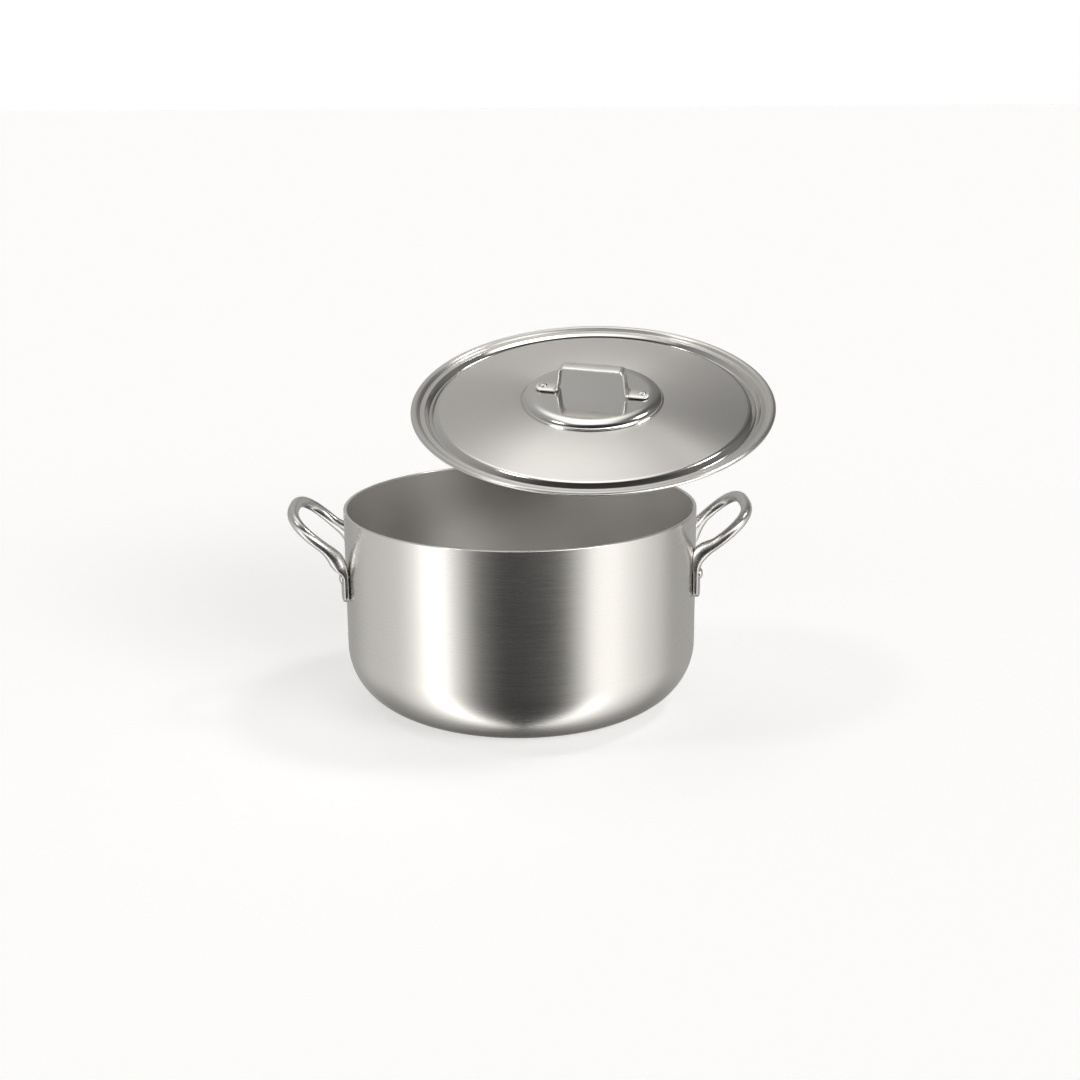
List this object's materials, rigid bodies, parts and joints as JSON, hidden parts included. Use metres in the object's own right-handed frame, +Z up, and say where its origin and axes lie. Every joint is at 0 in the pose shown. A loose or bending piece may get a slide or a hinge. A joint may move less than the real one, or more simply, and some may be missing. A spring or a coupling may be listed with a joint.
{
  "type": "stock pot",
  "caption": "Round metal pot with a curved base, riveted loop handles and a lift-off lid with a raised centre and a bent strap handle, held tipped above it.",
  "frame": {"origin": "middle of the pot's flat base, on the surface that it stands on", "axes": "+Z up along the pot's axis, +X through the right-hand pot handle, -Y towards a person facing the pot"},
  "size_m": [0.4382, 0.32, 0.3207],
  "materials": {
    "satin_aluminium": "satin, fine vertical grain",
    "lid_aluminium": "satin with round grain, polished groove and boss",
    "polished_steel": "polished"
  },
  "bodies": {
    "pot": {"pot_shell": "satin_aluminium", "pot_handle_right": "polished_steel", "pot_handle_left": "polished_steel", "pot_rivet_right_front": "polished_steel", "pot_rivet_right_rear": "polished_steel", "pot_rivet_left_front": "polished_steel", "pot_rivet_left_rear": "polished_steel"},
    "lid": {"lid_plate": "lid_aluminium", "lid_handle": "polished_steel", "lid_rivet_left": "polished_steel", "lid_rivet_right": "polished_steel"}
  },
  "joints": [
    {"name": "lid_lift", "type": "hinge", "parent": "pot", "child": "lid", "pos_m": [0.034, -0.309, 0.226], "axis": [0.8081, 0.004, -0.5891], "range_deg": [-20.5, 8]}
  ]
}
